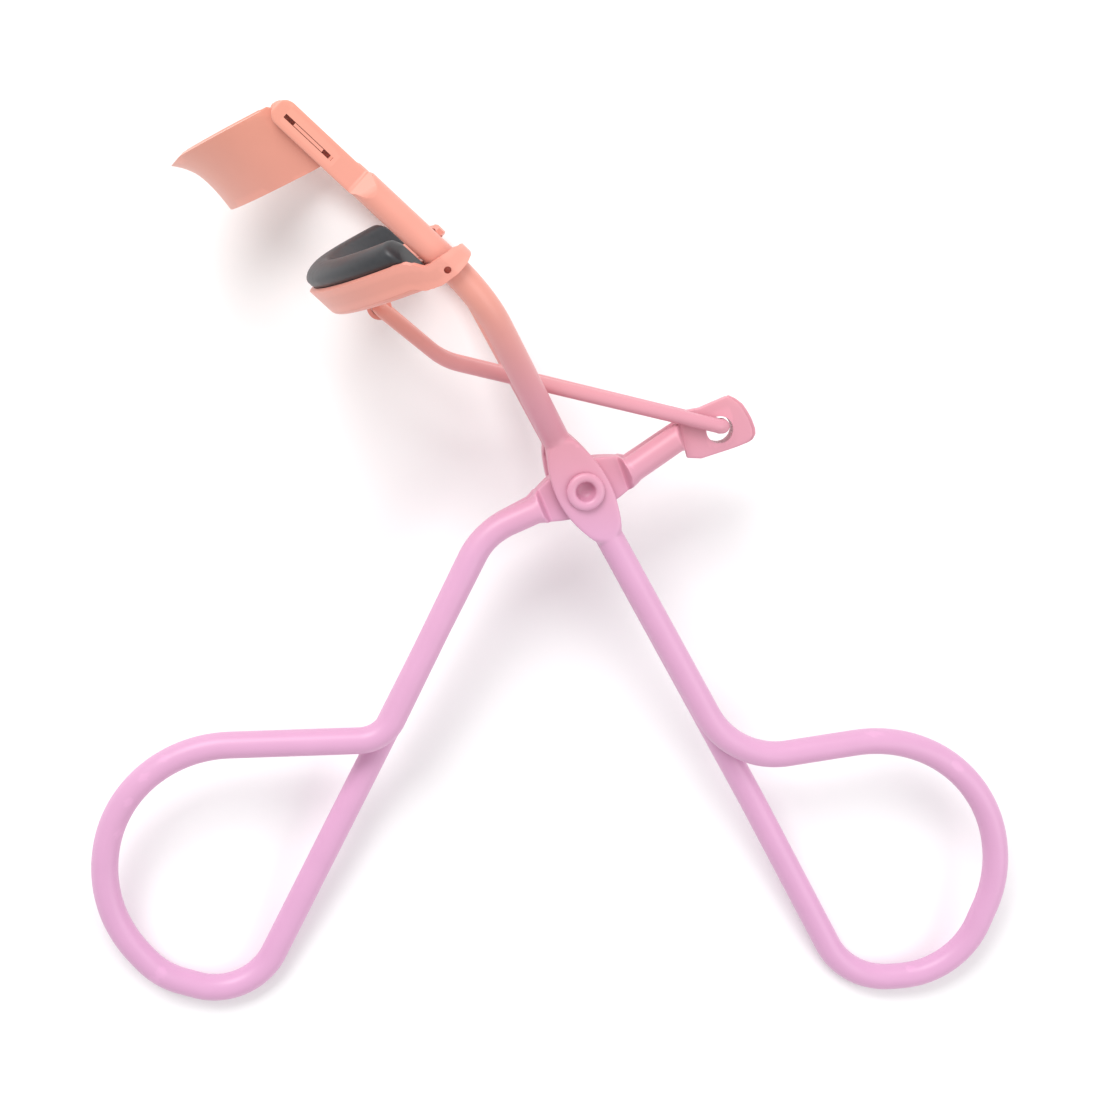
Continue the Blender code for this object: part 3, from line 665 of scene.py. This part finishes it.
flat_b = PLATE_C + math.sqrt(PLATE_R ** 2 - PLATE_Z ** 2)
near_plan = [(b, PLATE_Z, 0.0, 1.0) for b in (-0.85, -0.4, 0.0, 0.45, 0.9, flat_b - 0.25)]
far_plan = [(b, -PLATE_Z, 0.0, -1.0) for b in (flat_b - 0.25, 0.9, 0.45, 0.0, -0.4, -0.85)]
rings = []
arc = plan_arc(PLATE_C, PLATE_R, PLATE_Z, -PLATE_Z, ARC_STEPS)[1:-1]
for b, z, nb, nz in near_plan + arc + far_plan:
    lean = slot_lean * (PLATE_Z - z) / (2 * PLATE_Z)
    rings.append([jaw(a, b + lean + nb * n, z + nz * n) for n, a in plate_section(b, z)])
plate_obj = piece("plate_sheet", *skin(rings), plate_paint)
for z0, z1, lean in ((PLATE_Z - 0.4, RAIL_Z + STRAP_HT - 0.04, 0.0),
                     (-RAIL_Z - STRAP_HT + 0.04, -PLATE_Z + 0.4, slot_lean)):
    carve(plate_obj, jaw_block("cut", (TAB[:2], TAB[2:], (z0, z1)), lean), 'UNION')
soften(plate_obj, 0.14)


def rim(b):
    return 0.05 - CRADLE_SLOPE * (CRADLE_C + CRADLE_R - b)


def across(b, radius):
    """Distance from the mid-plane of a point on a cradle-centred arc, from its outward measure."""
    return math.sqrt(radius ** 2 - (b - CRADLE_C) ** 2)


channel_z = across(CHANNEL_END, CRADLE_R)


def channel_section(b):
    """Floor and inner wall, starting tangent to the outer wall's foot."""
    top = rim(b)
    low = top - CRADLE_H
    w, t, r = CHANNEL_W, SHEET, FLOOR_ROUND
    outer = [(-r + r * math.cos(math.radians(d)), low + r - r * math.sin(math.radians(d)))
             for d in range(0, 91, 10)]
    outer += [(-w + 0.5, low), (-w + 0.15, low + 0.15), (-w, low + 0.5), (-w, top - LIP_DROP)]
    inner = [(-w + t, top - LIP_DROP), (-w + t, low + t), (-t - 0.4, low + t), (-t - 0.1, low + t + 0.1),
             (-t, low + r)]
    return outer + inner


rings = []
for b, z, nb, nz in plan_arc(CRADLE_C, CRADLE_R, channel_z, -channel_z, ARC_STEPS):
    rings.append([jaw(a, b + nb * n, z + nz * n) for n, a in channel_section(b)])
channel_obj = piece("cradle_channel", *skin(rings), cradle_paint)

EAR_KEYS = (            # along the ear, its top edge, its lower edge
    (0.0, rim(EAR_START), rim(EAR_START) - CRADLE_H + FLOOR_ROUND - 0.02),
    (1.57, rim(CHANNEL_END), rim(CHANNEL_END) - CRADLE_H + 0.05),
    (2.3, -4.30, -7.45), (2.95, -5.20, -7.70), (3.6, -5.42, -7.80), (5.0, -5.60, -7.95),
    (6.3, -5.85, -7.95), (7.6, -6.25, -7.80), (8.6, -6.50, -7.60), (10.0, -6.70, -7.40))


def ear_plan():
    """Follows the wall's arc, then curls round the rail."""
    plan = []
    b = EAR_START
    while b > EAR_TURN:
        z = across(b, CRADLE_R)
        plan.append((b, z, (b - CRADLE_C) / CRADLE_R, z / CRADLE_R))
        b -= EAR_PACE
    for deg in range(88, 206, 5):
        t = math.radians(deg)
        plan.append((EAR_R * math.cos(t), RAIL_Z + EAR_R * math.sin(t), math.cos(t), math.sin(t)))
    return plan


def wall_ring(b, z, nb, nz, top, low):
    levels = [low + (top - low) * k / 6 for k in range(7)]
    return ([jaw(a, b, z) for a in levels]
            + [jaw(a, b - nb * SHEET, z - nz * SHEET) for a in reversed(levels)])


ears = {}
for side in (1.0, -1.0):
    rings, along, last = [], 0.0, None
    for b, z, nb, nz in ear_plan():
        if last:
            along += math.hypot(b - last[0], z - last[1])
        last = (b, z)
        top, low = keyed(EAR_KEYS, along)
        rings.append(wall_ring(b, side * z, nb, side * nz, top, low))
    ears[side] = rings
middle = []
start_z = across(EAR_START, CRADLE_R)
for b, z, nb, nz in plan_arc(CRADLE_C, CRADLE_R, start_z, -start_z, ARC_STEPS)[1:-1]:
    middle.append(wall_ring(b, z, nb, nz, rim(b), rim(b) - CRADLE_H + FLOOR_ROUND - 0.02))
wall_obj = piece("cradle_wall", *skin(ears[1.0][::-1] + middle + ears[-1.0]), cradle_paint)
hole = jaw(*EAR_HOLE, 0.0)
carve(wall_obj, round_bar("cut", (hole.x, hole.y), EAR_HOLE_R, -ACROSS, ACROSS, 32))
soften(wall_obj, 0.13)
soften(channel_obj, 0.10)

# knuckle: the floor's tab rolled round the link's bar
bar = Vector((LINK_BAR[0], LINK_BAR[1], 0.0))
bar_a, bar_b = (bar - RAIL_REF).dot(ALONG), (bar - RAIL_REF).dot(OUT)
knuckle_obj = round_bar("cradle_knuckle", LINK_BAR, KNUCKLE_R, -KNUCKLE_HALF, KNUCKLE_HALF, 64,
                        cradle_paint)
carve(knuckle_obj, jaw_block("cut", ((bar_a + TAB_SPAN[0], bar_a + TAB_SPAN[1]),
                                     (bar_b - TAB_HALF, bar_b + TAB_HALF),
                                     (-KNUCKLE_HALF, KNUCKLE_HALF))), 'UNION')
carve(knuckle_obj, round_bar("cut", LINK_BAR, WIRE_R + BORE_SLACK, -THROUGH, THROUGH))
soften(knuckle_obj, 0.14)


# ---- pad ----
def pad_section(b):
    """Bullet section seated in the channel, as (outward, along the rail) points."""
    turn = (b - CRADLE_C) / PAD_R
    top = rim(CRADLE_C + CRADLE_R * turn)
    low = top - CRADLE_H + SHEET + 0.05
    rise = PAD_RISE[0] + (PAD_RISE[1] - PAD_RISE[0]) * (1.0 - turn) / 0.47
    ring = [(-PAD_LOW, low), (PAD_LOW, low), (PAD_LOW, top + 0.02), (PAD_TOP - 0.05, top + 0.16),
            (PAD_TOP, top + 0.3), (PAD_TOP, top + 0.5)]
    for deg in range(0, 181, 9):
        t = math.radians(deg)
        ring.append((PAD_TOP * math.cos(t), top + 0.75 + (rise - 0.75) * math.sin(t)))
    ring += [(-PAD_TOP, top + 0.3), (-PAD_TOP, top - 1.3), (-PAD_LOW, top - 1.6)]
    return ring


pad_z = across(PAD_END, PAD_R)
rings = []
pad_arc = plan_arc(CRADLE_C, PAD_R, pad_z, -pad_z, PAD_STEPS)
pad_step = 2.0 * math.asin(pad_z / PAD_R) * PAD_R / PAD_STEPS
for k, (b, z, nb, nz) in enumerate(pad_arc):
    reach = min(k, PAD_STEPS - k) * pad_step
    tuck = 1.0 - math.sqrt(max(0.0, 1.0 - (1.0 - min(reach / PAD_END_ROUND, 1.0)) ** 2))
    section = pad_section(b)
    low = section[0][1]
    tall = 1.0 - PAD_TUCK_DOWN * tuck
    wide = 1.0 - PAD_TUCK_IN * tuck
    rings.append([jaw(low + (a - low) * tall, b + nb * n * wide, z + nz * n * wide)
                  for n, a in section])
pad_obj = piece("pad_insert", *skin(rings), pad_look)
soften(pad_obj, 0.30, 4)

# ---- link ----
def leg(side, drop):
    """Corners of one leg, from the pin's tip to the bar."""
    return [(LINK_PIN[0], LINK_PIN[1] - drop, side * LEG_TIP_Z, 0.0),
            (LINK_PIN[0], LINK_PIN[1] - drop, side * LEG_PIN_Z, 0.9),
            (LINK_KNEE[0], LINK_KNEE[1] - drop, side * LEG_BAR_Z, 7.0),
            (LINK_BAR[0], LINK_BAR[1], side * LEG_BAR_Z, 0.85)]


link_run = Run(bend(leg(1.0, 0.0) + leg(-1.0, FAR_DROP)[::-1], WIRE_BEND))


def wire_section(s):
    return (WIRE_R, WIRE_R, 0.0, 0.0, 2.0)


link_obj = piece("link_bent_wire", *sweep(
    link_run, wire_section, (), WIRE_SIDES, WIRE_PACE, fixed_up=False), link_paint)
soften(link_obj, 0.12, 3, 50.0)

# ---- each piece stands for its CAD node and rides its body ----
for obj, node, body, slot in (
        (frame_obj, "frame_handle", "frame", "frame_paint"),
        (lever_obj, "lever_handle", "lever", "lever_paint"),
        (rivet_obj, "pivot_rivet", "frame", "rivet_paint"),
        (plate_obj, "upper_jaw_plate", "frame", "plate_paint"),
        (wall_obj, "lower_jaw_cradle", "cradle", "cradle_paint"),
        (channel_obj, "lower_jaw_cradle", "cradle", "cradle_paint"),
        (knuckle_obj, "lower_jaw_cradle", "cradle", "cradle_paint"),
        (pad_obj, "rubber_pad", "cradle", "pad_rubber"),
        (link_obj, "link_wire", "link", "link_paint")):
    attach(obj, body)
    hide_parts(node)

# ---- floor, light, camera ----
FLOOR_TONE = (0.93, 0.93, 0.93)
SKY_STRENGTH = 0.68
bpy.ops.mesh.primitive_plane_add(size=6.0, location=(0, 0, 0))
floor = bpy.context.object
floor.name = "floor"
pale = bpy.data.materials.new("floor_look")
pale.use_nodes = True
shade = pale.node_tree.nodes["Principled BSDF"]
shade.inputs["Base Color"].default_value = (*FLOOR_TONE, 1.0)
shade.inputs["Roughness"].default_value = 0.9
shade.inputs["Specular IOR Level"].default_value = 0.1
floor.data.materials.append(pale)

world = bpy.data.worlds.new("studio")
bpy.context.scene.world = world
bpy.context.scene.view_settings.view_transform = 'Standard'
world.use_nodes = True
world.node_tree.nodes["Background"].inputs["Color"].default_value = (1.0, 1.0, 1.0, 1.0)
world.node_tree.nodes["Background"].inputs["Strength"].default_value = SKY_STRENGTH


def softbox(name, place, aim, size, power):
    light = bpy.data.lights.new(name, 'AREA')
    light.shape = 'RECTANGLE'
    light.size, light.size_y = size
    light.energy = power
    obj = bpy.data.objects.new(name, light)
    obj.location = place
    obj.rotation_mode = 'QUATERNION'
    obj.rotation_quaternion = (Vector(aim) - Vector(place)).to_track_quat('-Z', 'Y')
    bpy.context.scene.collection.objects.link(obj)


softbox("key", (-0.25, 0.45, 0.55), (0, 0, 0), (0.5, 0.35), 4.0)
softbox("fill", (0.5, -0.2, 0.5), (0, 0, 0), (0.5, 0.5), 1.6)

SENSOR = 36.0
CAM_DISTANCE = 230.0
VIEW_WIDTH = 118.7905   # millimetres that the view takes in at the aim point
CAM_BACK = Vector((-0.12698, 0.21035, 0.96934))
CAM_AIM = Vector((-3.41666, -6.91950, 0.0))
right = Vector((0, 1, 0)).cross(CAM_BACK).normalized()
upward = CAM_BACK.cross(right)
spot = (CAM_AIM + CAM_BACK * CAM_DISTANCE) * MM
pose = Matrix((right, upward, CAM_BACK)).transposed().to_4x4()
pose.translation = spot
cam_data = bpy.data.cameras.new("camera")
cam_data.sensor_width = SENSOR
cam_data.lens = SENSOR * CAM_DISTANCE / VIEW_WIDTH
cam_data.clip_start = 0.01
cam = bpy.data.objects.new("camera", cam_data)
cam.matrix_world = LIE @ pose
bpy.context.scene.collection.objects.link(cam)
bpy.context.scene.camera = cam
